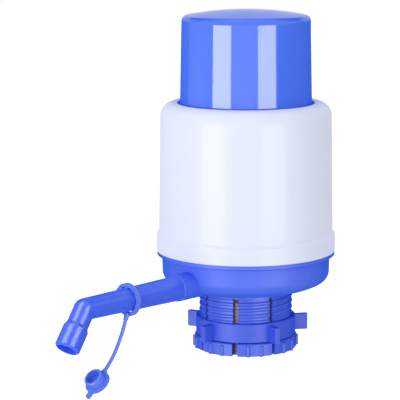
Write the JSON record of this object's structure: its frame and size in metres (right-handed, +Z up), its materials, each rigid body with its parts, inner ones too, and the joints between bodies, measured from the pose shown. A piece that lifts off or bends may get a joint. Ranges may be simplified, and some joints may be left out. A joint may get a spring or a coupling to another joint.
{
  "type": "water jug hand pump",
  "caption": "Hand pump for a large water bottle: press-down button in a round housing over a split threaded neck clamp, with a bent side spout, nozzle and strapped stopper.",
  "frame": {"origin": "on the pump's axis at the foot of the split collar, where the bottle's neck goes in", "axes": "+Z up the pump's axis towards the button, -Y out along the spout, +X to the right of someone who faces the spout's way"},
  "size_m": [0.1174, 0.2278, 0.2307],
  "materials": {
    "blue_housing": "glossy moulded polypropylene, blue",
    "blue_collar": "glossy moulded plastic, blue",
    "liner_rubber": "dull grey-brown rubber",
    "black_rubber": "dull rubber",
    "steel": "plain steel",
    "inner_plastic": "plain white moulded plastic",
    "valve_rubber": "pale silicone rubber",
    "white_shell": "glossy white moulded plastic",
    "spring_steel": "stainless spring wire",
    "blue_spout": "glossy moulded plastic, blue",
    "blue_tether": "soft blue moulded plastic"
  },
  "bodies": {
    "base": {"pump_base": "blue_housing", "split_collar": "blue_collar", "neck_liner": "liner_rubber", "mouth_gasket": "black_rubber", "collar_screws": "steel", "water_elbow": "inner_plastic", "elbow_seal": "black_rubber", "deck_plate": "inner_plastic", "deck_gasket": "black_rubber", "deck_screws": "steel", "delivery_valve": "valve_rubber", "pump_barrel": "inner_plastic", "housing_shell": "white_shell", "return_spring": "spring_steel"},
    "button": {"press_button": "blue_housing", "piston_plate": "inner_plastic", "piston_seal": "black_rubber", "intake_valve": "valve_rubber", "piston_screws": "steel"},
    "lock_ring": {"lock_ring": "blue_collar"},
    "spout": {"spout_tube": "blue_spout", "spout_o_ring": "black_rubber", "nozzle_tip": "blue_spout"},
    "tether": {"strap_ring": "blue_tether", "strap": "blue_tether", "stopper_cap": "blue_tether"}
  },
  "joints": [
    {"name": "button_press", "type": "slide", "parent": "base", "child": "button", "axis": [0, 0, -1], "range_m": [0, 0.048], "stiffness_N_per_m": 250, "springref_m": -0.03, "deforming": ["return_spring"]},
    {"name": "lock_ring_turn", "type": "hinge", "parent": "base", "child": "lock_ring", "pos_m": [0, 0, 0.0151], "axis": [0, 0, 1], "range_deg": [0, 1530]},
    {"name": "spout_turn", "type": "hinge", "parent": "base", "child": "spout", "pos_m": [0, -0.0665, 0.0489], "axis": [0, -1, 0], "continuous": true},
    {"name": "tether_swing", "type": "hinge", "parent": "base", "child": "tether", "pos_m": [0, -0.109, 0.0489], "axis": [0, -1, 0], "range_deg": [-70, 70]}
  ]
}
